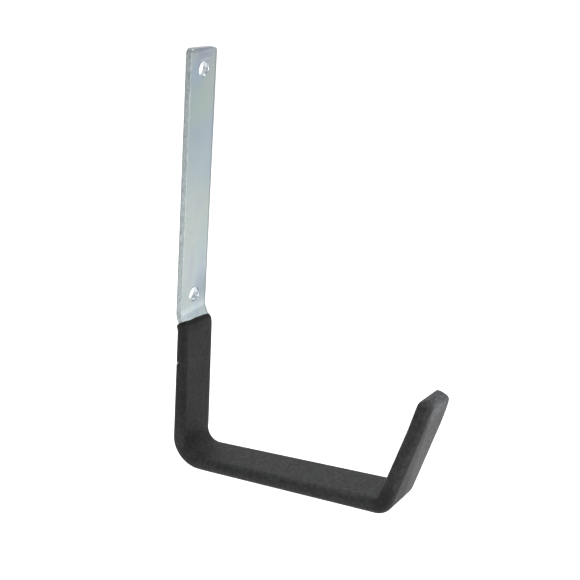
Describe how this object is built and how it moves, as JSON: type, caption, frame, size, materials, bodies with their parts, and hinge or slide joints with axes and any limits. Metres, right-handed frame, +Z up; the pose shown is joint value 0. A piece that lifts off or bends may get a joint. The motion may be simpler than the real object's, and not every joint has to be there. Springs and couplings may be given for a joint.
{
  "type": "wall hook",
  "caption": "Flat zinc-plated steel wall strip with round screw holes, set forward and bent into a deep open cradle with a rising arm and an upturned tip, covered in a soft black dip coat.",
  "frame": {"origin": "on the wall plane, midway between the two screw holes", "axes": "+Z up the wall, +Y into the wall, so the hook reaches out along -Y, and +X along the wall"},
  "size_m": [0.025, 0.1386, 0.2112],
  "materials": {
    "zinc_steel": "bright zinc plating, satin, faintly blue",
    "black_coat": "matt soft dip coat, finely pebbled"
  },
  "bodies": {
    "root": {"hook_bar": "zinc_steel", "grip_coat": "black_coat"}
  },
  "joints": []
}
